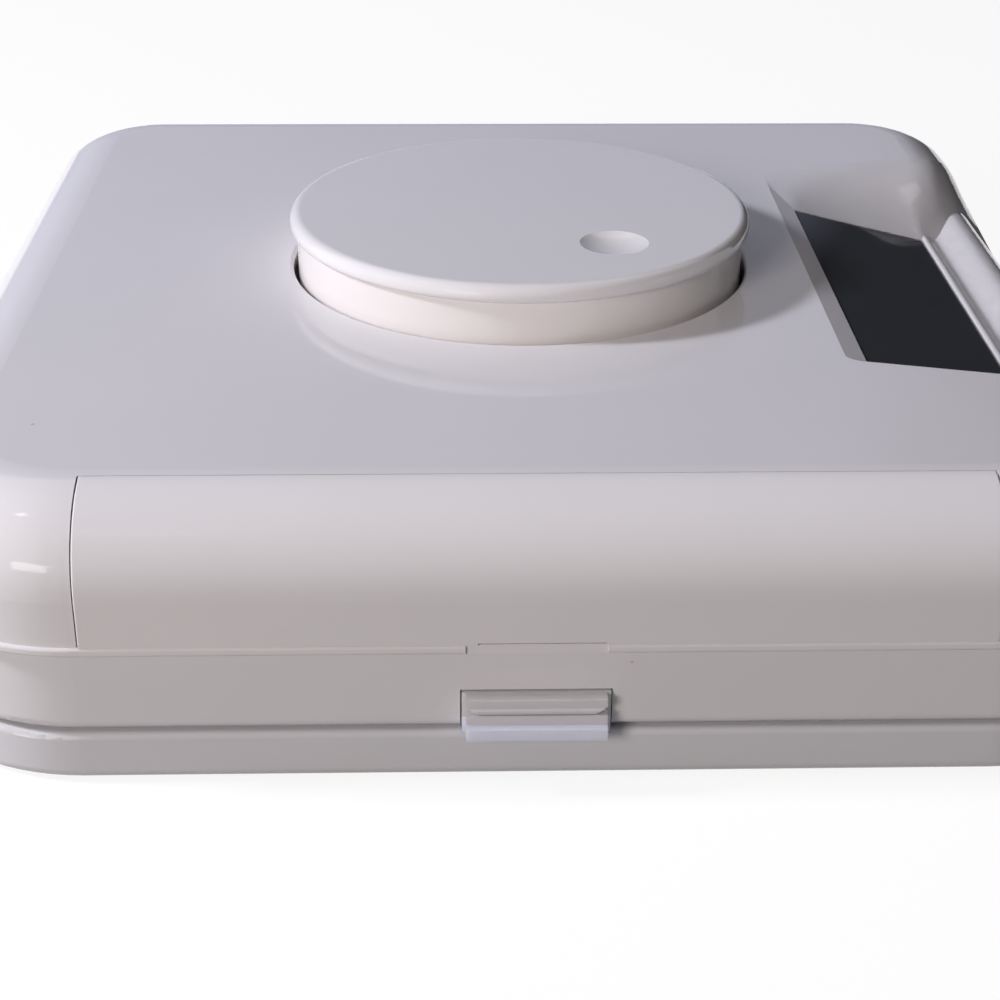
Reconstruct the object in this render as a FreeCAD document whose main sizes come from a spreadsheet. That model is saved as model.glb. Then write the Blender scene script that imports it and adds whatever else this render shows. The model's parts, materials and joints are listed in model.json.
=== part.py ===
import FreeCAD, Part
import math
import os
import re
import Sketcher
from FreeCAD import Placement, Rotation, Vector

# Timed lock container: a shallow square tray and a deep lid that locks onto it.
# Millimetres, +Z up. The origin is the centre of the footprint on the surface the
# container stands on; -Y is the front, where the plain fascia and the front strike are.

DIMENSIONS = {
    # outer form
    "wall_half": 89.0,          # half width of the lid's upright walls
    "front_corner": 28.0,       # plan radius of the lid's two front corners
    "rear_corner": 21.0,        # plan radius of its two rear corners
    "top_round": 12.8,          # rounding between the walls and the flat top
    "lid_top": 41.0,            # height of the flat top
    "shell_wall": 2.2,          # moulded wall thickness
    "bead_low": 20.3,           # lower edge of the lid's upper shell
    "bead_high": 21.7,          # top of the thin bead around that edge
    "bead_out": 0.4,            # how far the bead stands proud
    "bead_softening": 0.5,      # rounding of the bead's outer edges
    "fascia_half": 59.7,        # half width of the panel let into the front
    "fascia_rear": 78.1,        # its rear edge, on the top, from the middle
    "fascia_proud": 0.3,        # how far it stands out from the front wall
    "fascia_floor": 1.3,        # depth of the recess that it lies in
    "fascia_gap": 0.2,
    "fascia_edge_round": 0.25,
    "band_setback": 0.9,        # middle and lower bands lie behind the upper walls
    "parting_low": 7.6,         # top of the tray's rim
    "parting_high": 8.1,        # bottom of the lid's skirt
    "tray_low": 0.35,           # underside of the tray
    "tray_floor": 3.0,          # top of the tray's floor
    # tray and skirt
    "tray_wall_half": 85.0,     # outside of the tray's raised wall
    "tray_wall_top": 18.15,
    "skirt_inner_half": 85.5,
    "skirt_flange_half": 82.0,  # opening of the skirt's inner flange
    "skirt_flange_top": 21.8,
    "skirt_edge_round": 1.6,
    "rim_edge_round": 0.9,
    "base_edge_round": 1.6,
    "foot_radius": 7.0,
    "foot_inset": 68.0,         # feet centres from the middle
    "foot_pocket_top": 2.0,
    # front and rear strikes
    "strike_x": -0.5,           # the front strike lies a little left of the middle
    "strike_half": 9.85,        # half width of its root plate
    "strike_block_half": 9.3,   # half width of the stepped block in front
    "strike_root": 5.0,
    "strike_root_front": 86.9,
    "strike_bottom": 7.7,
    "strike_top": 14.0,
    "strike_inner": 85.2,
    "strike_face": 88.6,
    "strike_head": 90.5,        # front of the block's upper part
    "strike_neck": 90.7,        # front of its lower part
    "strike_reach": 91.8,       # front of the bar along its lower edge
    "strike_bar_low": 8.4,
    "strike_bar_high": 10.3,
    "strike_screw_offset": 8.6,
    "strike_screw_height": 9.2,
    # bolts and their windows
    "bolt_half": 6.0,
    "bolt_low": 10.6,
    "bolt_high": 13.1,
    "bolt_tip": 81.9,
    "bolt_leg_outer": 76.0,
    "bolt_leg_inner": 72.6,
    "window_gap": 0.35,
    # inner cover
    "cover_low": 18.2,
    "cover_high": 20.2,
    "cover_half": 85.2,
    "housing_half": 13.0,
    "housing_low": 9.2,
    "housing_outer": 82.2,
    "housing_inner": 70.8,
    "housing_wall": 1.4,
    # knob
    "knob_y": 2.0,              # the knob's axis lies a little behind the middle
    "hole_radius": 37.2,
    "hole_round": 0.8,
    "lip_radius": 37.55,
    "knob_top": 50.1,
    "lip_low": 47.3,
    "skirt_radius": 36.45,
    "skirt_bore": 34.6,
    "knob_low": 35.8,
    "web_low": 42.4,
    "web_high": 44.0,
    "post_radius": 3.0,
    "post_fit": 0.05,
    "flange_radius": 22.5,
    "flange_low": 36.0,
    "flange_high": 37.6,
    "stem_radius": 4.0,
    "well_radius": 40.2,
    "well_bore": 38.4,
    "well_floor_low": 31.0,
    "well_floor_high": 32.4,
    "dimple_x": 14.1,
    "dimple_y": -18.4,
    "dimple_radius": 5.4,
    "dimple_depth": 1.2,
    # display scoop
    "scoop_left": 46.7,         # where the sloping face leaves the flat top
    "scoop_slope": 0.282,       # fall of the sloping face towards the side
    "scoop_front": -41.6,       # front wall at scoop_left
    "scoop_flare": 0.255,       # how fast the front wall runs forward towards the side
    "scoop_corner": 3.5,        # plan rounding of the front wall's inner corner
    "scoop_wall": 2.4,          # thickness of the shell under the sloping face
    "glass_thickness": 1.2,
    "glass_below": 0.15,
    "glass_gap": 0.15,
    "glass_ledge": 1.5,
    # gear train
    "lock_y": -20.0,
    "motor_x": 24.0,
    "motor_y": -47.0,
    "gear_module": 0.8,
    "rack_module": 1.0,
    "wheel_teeth": 40.0,
    "pinion_teeth": 12.0,
    "rack_pinion_teeth": 14.0,
    "arbor_radius": 1.2,
    "arbor_fit": 0.06,
    # battery bay
    "cell_radius": 7.1,
    "cell_length": 50.5,
    "cell_pitch": 15.0,
    "bay_x": -63.7,
    "bay_half_x": 15.2,
    "bay_half_y": 28.0,
    "cell_height": 27.5,
    "bay_wall": 1.4,
    "door_half_x": 16.9,
    "door_front": -30.2,
    "door_rear": 37.2,
    "door_screw_y": 33.5,
    # boards and motor bracket
    "bracket_low": 24.4,
    "bracket_high": 25.7,
    "board_low": 22.4,
    "board_high": 24.0,
}

SIDES = (("front", -1), ("rear", 1))        # each side's name and the sign of its Y
SIGNS = (-1, 1)

doc = FreeCAD.newDocument("timed_lock_container")
sheet = doc.addObject("Spreadsheet::Sheet", "Dims")


def fill_sheet():
    """Write every driving dimension into the sheet under its alias."""
    for row, (alias, value) in enumerate(DIMENSIONS.items(), start=1):
        sheet.set(f"A{row}", alias)
        sheet.set(f"B{row}", str(value))
        sheet.setAlias(f"B{row}", alias)
    doc.recompute()


def size(alias):
    """A driving dimension read back from the sheet."""
    return float(sheet.get(alias))


def bound(formula):
    """A formula in plain dimension names, as one that reads the sheet."""
    def name(match):
        word = match.group(0)
        return f"Dims.{word}" if word in DIMENSIONS else word
    return re.sub(r"[a-z_]+", name, str(formula))


# ---------------------------------------------------------------- construction helpers

def bind(thing, **formulas):
    """Bind properties to formulas; a double underscore stands for a dot."""
    for prop, formula in formulas.items():
        thing.setExpression(prop.replace("__", "."), bound(formula))
    return thing


def block(name, x_span, y_span, z_span):
    """A box between three (low, high) pairs of formulas."""
    box = doc.addObject("Part::Box", name)
    for prop, (low, high) in zip(("Length", "Width", "Height"), (x_span, y_span, z_span)):
        box.setExpression(prop, bound(f"({high}) - ({low})"))
    for axis, (low, _) in zip("xyz", (x_span, y_span, z_span)):
        box.setExpression(f"Placement.Base.{axis}", bound(low))
    return box


def rod(name, radius, low, high, x="0", y="0"):
    """An upright cylinder from height low to height high."""
    cylinder = doc.addObject("Part::Cylinder", name)
    return bind(cylinder, Radius=radius, Height=f"({high}) - ({low})",
                Placement__Base__x=x, Placement__Base__y=y, Placement__Base__z=low)


def cross_rod(name, radius, near, far, x, z):
    """A cylinder lying along Y from near to far."""
    cylinder = doc.addObject("Part::Cylinder", name)
    cylinder.Placement = Placement(Vector(0, 0, 0), Rotation(Vector(1, 0, 0), -90))
    return bind(cylinder, Radius=radius, Height=f"({far}) - ({near})",
                Placement__Base__x=x, Placement__Base__y=near, Placement__Base__z=z)


def fuse(name, *pieces):
    """One solid from several that touch or overlap."""
    union = doc.addObject("Part::MultiFuse", name)
    union.Shapes = list(pieces)
    union.Refine = True
    return union


def cut(name, base, *tools):
    """The base with every tool taken out of it."""
    tool = tools[0] if len(tools) == 1 else gather(name + "_tools", *tools)
    result = doc.addObject("Part::Cut", name)
    result.Base = base
    result.Tool = tool
    result.Refine = True
    return result


def common(name, first, second):
    """The space that two solids share."""
    shared = doc.addObject("Part::MultiCommon", name)
    shared.Shapes = [first, second]
    return shared


def gather(name, *pieces):
    """Several separate solids kept together."""
    group = doc.addObject("Part::Compound", name)
    group.Links = list(pieces)
    return group


def freeform(name, shape):
    """A sub-part whose shape is worked out in code."""
    feature = doc.addObject("Part::Feature", name)
    feature.Shape = shape
    return feature


def new_body(name):
    body = doc.addObject("PartDesign::Body", name)
    body.Label = name
    return body


def new_sketch(body, name, role="XY_Plane", height="0", x="0", y="0"):
    """A sketch on one of the body's own origin planes, moved along its normal."""
    sketch = body.newObject("Sketcher::SketchObject", name)
    plane = next(item for item in body.Origin.OriginFeatures if item.Role == role)
    sketch.AttachmentSupport = [(plane, "")]
    sketch.MapMode = "FlatFace"
    return bind(sketch, AttachmentOffset__Base__x=x, AttachmentOffset__Base__y=y,
                AttachmentOffset__Base__z=height)


def outline(sketch, corners):
    """A closed outline whose corners are pairs of formulas."""
    count = len(corners)
    turn = 2 * math.pi / count
    start = [Vector(10 * math.cos(i * turn), 10 * math.sin(i * turn), 0) for i in range(count)]
    first = sketch.GeometryCount
    for i in range(count):
        sketch.addGeometry(Part.LineSegment(start[i], start[(i + 1) % count]), False)
    for i in range(count):
        following = first + (i + 1) % count
        sketch.addConstraint(Sketcher.Constraint("Coincident", first + i, 2, following, 1))
    for i, (x, y) in enumerate(corners):
        for kind, formula, value in (("DistanceX", x, start[i].x), ("DistanceY", y, start[i].y)):
            index = sketch.addConstraint(Sketcher.Constraint(kind, first + i, 1, value))
            sketch.setExpression(f"Constraints[{index}]", bound(formula))
    return sketch


def rectangle(sketch, x_span, y_span):
    (left, right), (low, high) = x_span, y_span
    return outline(sketch, [(left, low), (right, low), (right, high), (left, high)])


def circle(sketch, radius, x="0", y="0"):
    """A circle with its radius and centre bound to formulas."""
    index = sketch.addGeometry(Part.Circle(Vector(3, 4, 0), Vector(0, 0, 1), 5), False)
    for kind, point, formula, value in (("DistanceX", 3, x, 3), ("DistanceY", 3, y, 4)):
        place = sketch.addConstraint(Sketcher.Constraint(kind, index, point, value))
        sketch.setExpression(f"Constraints[{place}]", bound(formula))
    width = sketch.addConstraint(Sketcher.Constraint("Radius", index, 5))
    sketch.setExpression(f"Constraints[{width}]", bound(radius))
    return sketch


def pad(body, sketch, length, name):
    feature = body.newObject("PartDesign::Pad", name)
    feature.Profile = sketch
    return bind(feature, Length=length)


def pocket(body, sketch, length, name, upward=True):
    """A pocket cut along the sketch's normal when upward, else against it."""
    feature = body.newObject("PartDesign::Pocket", name)
    feature.Profile = sketch
    feature.Reversed = upward
    return bind(feature, Length=length)


def revolve(body, sketch, name):
    """A full turn of the outline about the sketch's own vertical axis."""
    feature = body.newObject("PartDesign::Revolution", name)
    feature.Profile = sketch
    feature.ReferenceAxis = (sketch, ["V_Axis"])
    feature.Angle = 360
    return feature


def soften(body, base, chosen, radius, name):
    """Round the edges that the test chooses."""
    doc.recompute()
    names = [f"Edge{i}" for i, edge in enumerate(base.Shape.Edges, start=1) if chosen(edge)]
    feature = body.newObject("PartDesign::Fillet", name)
    feature.Base = (base, names)
    return bind(feature, Radius=radius)


def upright(edge):
    """True for a straight edge along Z."""
    box = edge.BoundBox
    return box.XLength < 1e-6 and box.YLength < 1e-6


def level_at(height):
    """A test for edges that lie flat at one height."""
    def chosen(edge):
        box = edge.BoundBox
        return abs(box.ZMin - height) < 1e-6 and abs(box.ZMax - height) < 1e-6
    return chosen


def upright_on(sign):
    """A test for upright edges on the front or the rear half."""
    def chosen(edge):
        return upright(edge) and sign * edge.BoundBox.YMin > 0
    return chosen


def rounded_block(name, half, low, high, top_round=None, bottom_round=None):
    """A square block whose corners share the lid's corner centres, with soft edges if asked."""
    body = new_body(name)
    sketch = new_sketch(body, name + "_outline", height=low)
    span = (f"-({half})", half)
    rectangle(sketch, span, span)
    tip = pad(body, sketch, f"({high}) - ({low})", name + "_pad")
    for side, sign in SIDES:
        radius = f"{side}_corner - wall_half + ({half})"
        tip = soften(body, tip, upright_on(sign), radius, f"{name}_{side}_corners")
    if top_round:
        doc.recompute()
        height = tip.Shape.BoundBox.ZMax
        tip = soften(body, tip, level_at(height), top_round, name + "_top_round")
    if bottom_round:
        doc.recompute()
        height = tip.Shape.BoundBox.ZMin
        tip = soften(body, tip, level_at(height), bottom_round, name + "_bottom_round")
    return body


def label(node, thing):
    """Give a finished sub-part its node name."""
    thing.Label = node
    return thing


def turned_about_z(name, source, degrees=180):
    """A copy of a sub-part's shape turned about the container's middle."""
    doc.recompute()
    shape = source.Shape.copy()
    shape.rotate(Vector(0, 0, 0), Vector(0, 0, 1), degrees)
    return freeform(name, shape)


# ---------------------------------------------------------------- tray

def across(sign, inner, outer):
    """The Y span between two distances from the middle, on the front or the rear side."""
    return (f"-({outer})", f"-({inner})") if sign < 0 else (inner, outer)


def strike_middle(sign):
    """X of a strike's middle; the rear strike is the front one turned about Z."""
    return f"{-sign} * strike_x"


def strike_screw_places(sign):
    """X of the two screws that hold a strike."""
    return [f"{strike_middle(sign)} + {side} * strike_screw_offset" for side in SIGNS]


def corner_places():
    """The four feet's centres as pairs of formulas."""
    return [(f"{x_sign} * foot_inset", f"{y_sign} * foot_inset")
            for x_sign in SIGNS for y_sign in SIGNS]


def tray_side_tools(side, sign):
    """What is taken out of one wall: the bolt's window, the strike's slot, screw holes."""
    middle = strike_middle(sign)
    tools = [block(f"tray_window_{side}", ("-bolt_half - window_gap", "bolt_half + window_gap"),
                   across(sign, "tray_wall_half - 5", "tray_wall_half + 1"),
                   ("bolt_low - window_gap", "bolt_high + window_gap")),
             block(f"tray_slot_{side}",
                   (f"{middle} - strike_half - 0.1", f"{middle} + strike_half + 0.1"),
                   across(sign, "strike_inner - 0.2", "strike_root_front + 0.1"),
                   ("strike_root - 0.1", "parting_low + 1"))]
    for i, x in enumerate(strike_screw_places(sign)):
        hole = across(sign, "tray_wall_half - 5", "tray_wall_half + 1")
        sink = across(sign, "tray_wall_half - 3", "tray_wall_half - 1.1")
        tools.append(cross_rod(f"tray_screw_hole_{side}_{i}", "1.0", *hole, x,
                               "strike_screw_height"))
        tools.append(cross_rod(f"tray_screw_sink_{side}_{i}", "1.8", *sink, x,
                               "strike_screw_height"))
    return tools


def base_tray():
    """The shallow white tray: a low outer rim, and a thin wall that the lid slides over."""
    rim = rounded_block("tray_rim", "wall_half - band_setback", "tray_low", "parting_low",
                        "rim_edge_round", "base_edge_round")
    wall = rounded_block("tray_wall", "tray_wall_half", "tray_floor", "tray_wall_top")
    hollow = rounded_block("tray_hollow", "tray_wall_half - shell_wall", "tray_floor",
                           "tray_wall_top + 1")
    relief = cut("tray_relief",
                 rounded_block("relief_outer", "tray_wall_half + 1.2", "tray_low - 1",
                               "parting_low - 2"),
                 rounded_block("relief_inner", "tray_wall_half - 0.7", "tray_low - 2",
                               "parting_low"))
    tools = [hollow, relief]
    for side, sign in SIDES:
        tools += tray_side_tools(side, sign)
    for i, (x, y) in enumerate(corner_places()):
        tools.append(rod(f"foot_pocket_{i}", "foot_radius + 0.1", "tray_low - 1",
                         "foot_pocket_top", x, y))
    return label("base_tray", cut("tray_cut", fuse("tray_solid", rim, wall), *tools))


def rubber_feet():
    """Four flat pads in pockets under the tray."""
    feet = [rod(f"foot_{i}", "foot_radius", "0", "foot_pocket_top", x, y)
            for i, (x, y) in enumerate(corner_places())]
    return label("rubber_feet", gather("foot_group", *feet))


def strike_profile(body, name, half, points):
    """A pad across the strike, from a side outline of (distance forward, height) pairs."""
    side = new_sketch(body, name + "_outline", "YZ_Plane", f"strike_x - {half}")
    outline(side, [(f"-({forward})", height) for forward, height in points])
    return pad(body, side, f"2 * {half}", name)


def front_strike():
    """A clear catch: a plate rooted in the tray's rim, with a stepped block in front.

    The block's upper part overhangs a narrow groove, and a bar runs along its lower edge.
    """
    body = new_body("strike_body")
    step_low = "strike_top - 2.0"
    root = [("strike_root_front", "strike_bottom"), ("strike_root_front", "strike_root"),
            ("strike_inner", "strike_root"), ("strike_inner", "strike_top")]
    head = [("strike_head", "strike_top"), ("strike_head", "strike_top - 1.3"),
            ("strike_head + 0.25", "strike_top - 1.55"), ("strike_head + 0.25", step_low)]
    groove = [("strike_head - 0.9", step_low), ("strike_head - 0.9", step_low + " - 0.3"),
              ("strike_neck", step_low + " - 0.3")]
    bar = [("strike_neck", "strike_bar_high"), ("strike_reach", "strike_bar_high - 0.05"),
           ("strike_reach", "strike_bar_low"), ("strike_face", "strike_bar_low"),
           ("strike_face", "strike_bottom")]
    strike_profile(body, "strike_block", "strike_block_half", root + head + groove + bar)
    strike_profile(body, "strike_plate", "strike_half",
                   root + [("strike_face", "strike_top"), ("strike_face", "strike_bottom")])
    tools = [block("strike_window", ("-bolt_half - window_gap", "bolt_half + window_gap"),
                   ("-strike_inner - 2.1", "-strike_inner + 5"),
                   ("bolt_low - window_gap", "bolt_high + window_gap"))]
    for i, x in enumerate(strike_screw_places(-1)):
        tools.append(cross_rod(f"strike_pilot_{i}", "0.8", "-strike_face + 0.6",
                               "-strike_inner + 5", x, "strike_screw_height"))
    return label("front_strike", cut("strike_cut", body, strike_corners(), *tools))


def strike_corners():
    """Two wedges that bevel the lower corners of the block's overhanging part."""
    wedges = []
    low, inset, depth = size("strike_top") - 2.01, 1.6, 0.9
    for sign in SIGNS:
        edge = size("strike_x") + sign * (size("strike_block_half") + 0.1)
        corners = [Vector(edge, 0, low), Vector(edge, 0, low + depth),
                   Vector(edge - sign * inset, 0, low)]
        wedge = Part.Face(Part.makePolygon(corners + corners[:1])).extrude(Vector(0, -3, 0))
        wedge.translate(Vector(0, -size("strike_head") + 0.9, 0))
        wedges.append(wedge)
    return freeform("strike_wedges", Part.makeCompound(wedges))


def rear_strike():
    return label("rear_strike", turned_about_z("strike_rear", doc.getObject("strike_cut")))


def strike_screws():
    """Four countersunk screws that hold the strikes from inside the tray."""
    screws = []
    slot_width = 0.5
    for _, sign in SIDES:
        for side in SIGNS:
            x = -sign * size("strike_x") + side * size("strike_screw_offset")
            head_face = Vector(x, sign * (size("tray_wall_half") - 2.1),
                               size("strike_screw_height"))
            out = Vector(0, sign, 0)
            head = Part.makeCone(1.7, 0.8, 0.9, head_face, out)
            shank = Part.makeCylinder(0.8, 4.8, head_face, out)
            corner = head_face - Vector(1.2, slot_width / 2, 0.2)
            slot = Part.makeBox(2.4, slot_width, 0.4, corner)
            screws.append(head.fuse(shank).removeSplitter().cut(slot))
    return label("strike_screws", freeform("strike_screw_group", Part.makeCompound(screws)))


# ---------------------------------------------------------------- display scoop

# The scoop's section across the side, as (distance from the middle, fall below the top):
# the sloping face's end, a low ledge, a groove and a rounded rim that drops over the side.
SCOOP_RIM = ((74.3, 7.78), (74.9, 7.50), (75.8, 7.85), (77.0, 8.52), (78.3, 8.42), (80.0, 7.75),
             (81.9, 7.15), (83.5, 7.25), (85.0, 7.95), (86.5, 9.4), (88.0, 11.5), (89.4, 14.6))
# The rear ramp's foot and top in plan, as (X, Y).
RAMP_FOOT = ((46.7, 39.8), (50.06, 27.7), (74.3, 31.0), (88.0, 41.2))
RAMP_TOP = ((46.7, 42.6), (60.0, 47.1), (70.0, 49.5), (76.0, 50.5), (80.0, 52.1), (84.0, 56.1),
            (88.0, 62.2))
RAMP_GRID = (1.5, 2.5)          # spacing in X and Y of the points that carry the ramp's surface
RAMP_COUNT = (37, 24)           # how many of them there are in X and Y
RAMP_START = (40.0, 20.0)       # the first of them, at the left and in front
SPACE_HALF = 80.0               # the spaces that shape the scoop reach this far front and back
SPACE_ROOF = 70.0               # and up to this height
# The window's outline in plan.
GLASS_CORNERS = ((50.06, -41.2), (74.2, -47.0), (74.2, 31.0), (50.06, 27.7))


def along(points, x):
    """The value at x on a line of (x, value) points, level before the first of them."""
    x = max(x, points[0][0])
    for (x0, y0), (x1, y1) in zip(points, points[1:]):
        if x <= x1:
            break
    return y0 + (y1 - y0) * (x - x0) / (x1 - x0)


def sloping_height(x):
    """Height of the scoop's sloping face."""
    return size("lid_top") - size("scoop_slope") * (x - size("scoop_left"))


def lid_height(x):
    """Height of the lid's own surface towards the side, where no scoop is cut."""
    radius = size("top_round")
    centre_x, centre_z = size("wall_half") - radius, size("lid_top") - radius
    if x <= centre_x:
        return size("lid_top")
    arc_end = 0.89 * radius         # past it the height runs on straight, at the same steepness
    arc_drop = math.sqrt(radius ** 2 - arc_end ** 2)
    reach = min(x - centre_x, arc_end)
    past = max(x - centre_x - arc_end, 0.0)
    return centre_z + math.sqrt(radius ** 2 - reach ** 2) - past * arc_end / arc_drop


def ramp_rise(part):
    """Share of the ramp's rise at a part of its run, easing off where it meets the top."""
    ease_start, ease_end, final_slope = 0.7, 1.2, 0.2
    bend = (1 - final_slope) / (2 * (ease_end - ease_start))
    eased = min(max(part - ease_start, 0.0), ease_end - ease_start)
    return min(part, ease_end) - bend * eased ** 2 + final_slope * max(part - ease_end, 0.0)


def ramp_space(drop):
    """The space above the rear ramp, lowered by a drop, and all of it in front."""
    (step_x, step_y), (columns, places) = RAMP_GRID, RAMP_COUNT
    left, start = RAMP_START
    rows = []
    for column in range(columns):
        x = left + step_x * column
        foot, top = along(RAMP_FOOT, x), along(RAMP_TOP, x)
        row = []
        for place in range(places):
            y = start + step_y * place
            rise = ramp_rise((y - foot) / (top - foot))
            height = sloping_height(x) * (1 - rise) + lid_height(x) * rise
            row.append(Vector(x, y, height - drop))
        rows.append(row)
    surface = Part.BSplineSurface()
    surface.interpolate(rows)
    ramp = surface.toShape().extrude(Vector(0, 0, 40))
    low = 10.0
    front = Part.makeBox(step_x * (columns - 1), start + SPACE_HALF, SPACE_ROOF - low,
                         Vector(left, -SPACE_HALF, low))
    return ramp.fuse(front)


def section_space(drop):
    """The space above the scoop's section, as a long prism along Y."""
    top, left = size("lid_top"), size("scoop_left")
    rim = [Vector(x, 0, top - fall - drop) for x, fall in SCOOP_RIM]
    start = Vector(left - 6, 0, sloping_height(left - 6) - drop)
    slope = Part.makeLine(start, rim[0])
    curve = Part.BSplineCurve()
    curve.interpolate(rim)
    closing = Part.makePolygon([rim[-1], Vector(rim[-1].x, 0, SPACE_ROOF),
                                Vector(start.x, 0, SPACE_ROOF), start])
    outline_wire = Part.Wire([slope, curve.toShape()] + closing.Edges)
    space = Part.Face(outline_wire).extrude(Vector(0, 2 * SPACE_HALF, 0))
    space.translate(Vector(0, -SPACE_HALF, 0))
    return space


def scoop_tool(name, drop, spread):
    """The space that the scoop takes out, lowered by drop and widened by spread."""
    left = size("scoop_left") - 0.3 - spread
    front = size("scoop_front") - spread
    side, back = size("wall_half") + 0.4, 75.0
    run = side - left
    bounds = [Vector(left, front, 0), Vector(side, front - run * size("scoop_flare"), 0),
              Vector(side, back, 0), Vector(left, back, 0)]
    column = Part.Face(Part.makePolygon(bounds + bounds[:1])).extrude(Vector(0, 0, 90))
    corner = [edge for edge in column.Edges if upright(edge)
              and math.hypot(edge.BoundBox.XMin - left, edge.BoundBox.YMin - front) < 1e-6]
    column = column.makeFillet(size("scoop_corner") + spread, corner)
    space = section_space(drop).common(ramp_space(drop)).common(column)
    return freeform(name, space)


def window_slab(name, growth, top, bottom):
    """A slab between two depths below the sloping face, with the window's grown outline."""
    (left, front_left), (right, front_right), (_, rear_right), (_, rear_left) = GLASS_CORNERS
    plan = [(left - growth, front_left - growth), (right + growth, front_right - growth),
            (right + growth, rear_right + growth), (left - growth, rear_left + growth)]
    rim = [Vector(x, y, sloping_height(x) - top) for x, y in plan]
    face = Part.Face(Part.makePolygon(rim + rim[:1]))
    return freeform(name, face.extrude(Vector(0, 0, top - bottom)))


# ---------------------------------------------------------------- lid shell

def screw_places():
    """Where the lid's screws stand."""
    corner, side, front = 73.0, 36.0, 76.0
    return ([(x, y) for x in (-corner, corner) for y in (-corner, corner)]
            + [(x, y) for x in (-side, side) for y in (-front, front)])


def well_places():
    """Where the knob well's three screws stand, around the knob's axis."""
    return [(44 * math.cos(math.radians(angle)), size("knob_y") + 44 * math.sin(math.radians(angle)))
            for angle in (90, 210, 330)]


def shell_blank():
    """The lid's outer form with its bead, which is left out above the front strike."""
    outer = rounded_block("shell_outer", "wall_half", "bead_low", "lid_top", "top_round")
    bead = rounded_block("shell_bead", "wall_half + bead_out", "bead_low", "bead_high",
                         "bead_softening", "bead_softening")
    break_in_bead = block("bead_break",
                          ("strike_x - strike_block_half", "strike_x + strike_block_half"),
                          ("-wall_half - 2", "-wall_half - 0.05"),
                          ("bead_low - 1", "bead_high + 1"))
    return fuse("shell_blank", outer, cut("bead_broken", bead, break_in_bead))


def shell_hollow():
    """The room inside the shell, which stays a wall's thickness below the scoop."""
    inner = rounded_block("shell_inner", "wall_half - shell_wall", "bead_low - 1",
                          "lid_top - shell_wall", "top_round - shell_wall")
    scoop = scoop_tool("scoop_inside", size("scoop_wall"), size("shell_wall"))
    return cut("shell_hollow", inner, scoop)


def fascia_recess():
    """The shallow recess that the front panel lies in."""
    floor = rounded_block("recess_floor", "wall_half - fascia_floor", "bead_low - 2",
                          "lid_top - fascia_floor", "top_round - fascia_floor")
    return cut("fascia_recess", fascia_zone("recess_zone", "fascia_gap"), floor)


def shell_bosses():
    """The shell's bosses and the pilot holes in them."""
    bosses, pilots = [], []
    for i, (x, y) in enumerate(screw_places()):
        bosses.append(rod(f"shell_boss_{i}", "3.4", "cover_high + 0.1", "lid_top - 2.0", x, y))
        pilots.append(rod(f"shell_pilot_{i}", "1.1", "cover_high - 1", "34", x, y))
    for i, (x, y) in enumerate(well_places()):
        bosses.append(rod(f"well_boss_{i}", "3.0", "33.1", "lid_top - 2.0", x, y))
        pilots.append(rod(f"well_pilot_{i}", "0.9", "32", "38", x, y))
    return bosses, pilots


def lid_top_shell():
    """The lid's upper shell: top, walls, knob hole, display scoop and front recess."""
    body = cut("shell_carved", shell_blank(), scoop_tool("scoop_outside", 0.0, 0.0),
               shell_hollow(), fascia_recess())
    above = -3.0
    seat = window_slab("glass_seat", size("glass_gap"), above,
                       size("glass_below") + size("glass_thickness"))
    opening = window_slab("glass_opening", -size("glass_ledge"), above, 9.0)
    hole = rod("knob_hole", "hole_radius", "lid_top - 6", "lid_top + 6", "0", "knob_y")
    bosses, pilots = shell_bosses()
    solid = cut("shell_cut", fuse("shell_bossed", body, *bosses), seat, opening, hole, *pilots)
    doc.recompute()
    rim = [i for i, edge in enumerate(solid.Shape.Edges, start=1) if is_hole_edge(edge)]
    rounded = doc.addObject("Part::Fillet", "shell_rounded")
    rounded.Base = solid
    rounded.Edges = [(i, size("hole_round"), size("hole_round")) for i in rim]
    return label("lid_top_shell", rounded)


def is_hole_edge(edge):
    """True for the knob hole's edge on the flat top."""
    return (level_at(size("lid_top"))(edge)
            and abs(edge.BoundBox.XLength - 2 * size("hole_radius")) < 0.1)


def fascia_zone(name, gap):
    """The region of the front that the fascia fills, wider by a gap on three sides."""
    return block(name, (f"-fascia_half - {gap}", f"fascia_half + {gap}"),
                 ("-wall_half - 6", f"-fascia_rear + {gap}"), ("bead_high", "lid_top + 10"))


def front_fascia():
    """A plain curved panel let into the lid's front; it stands a little proud of the wall."""
    proud = rounded_block("fascia_outer", "wall_half + fascia_proud", "bead_low", "lid_top",
                          "top_round")
    inner = rounded_block("fascia_inner", "wall_half - fascia_floor + 0.1", "bead_low - 1",
                          "lid_top - fascia_floor + 0.1", "top_round - fascia_floor + 0.1")
    panel = common("fascia_panel", cut("fascia_skin", proud, inner),
                   fascia_zone("fascia_zone", "0"))
    slot = block("fascia_slot", ("strike_x - 7.7", "strike_x + 9.0"),
                 ("-wall_half - 2", "-wall_half + 1.0"), ("bead_high - 1", "bead_high + 0.3"))
    solid = cut("fascia_cut", panel, slot)
    doc.recompute()
    chosen = [i for i, edge in enumerate(solid.Shape.Edges, start=1) if is_fascia_side(edge)]
    rounded = doc.addObject("Part::Fillet", "fascia_rounded")
    rounded.Base = solid
    rounded.Edges = [(i, size("fascia_edge_round"), size("fascia_edge_round")) for i in chosen]
    return label("front_fascia", rounded)


def is_fascia_side(edge):
    """True for the outer edges at the panel's left and right ends."""
    box = edge.BoundBox
    on_end = box.XLength < 1e-5 and abs(abs(box.XMin) - size("fascia_half")) < 1e-4
    outermost = box.YMin < -size("wall_half") - size("fascia_proud") + 1e-3
    return on_end and outermost and box.ZLength > 2


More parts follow.
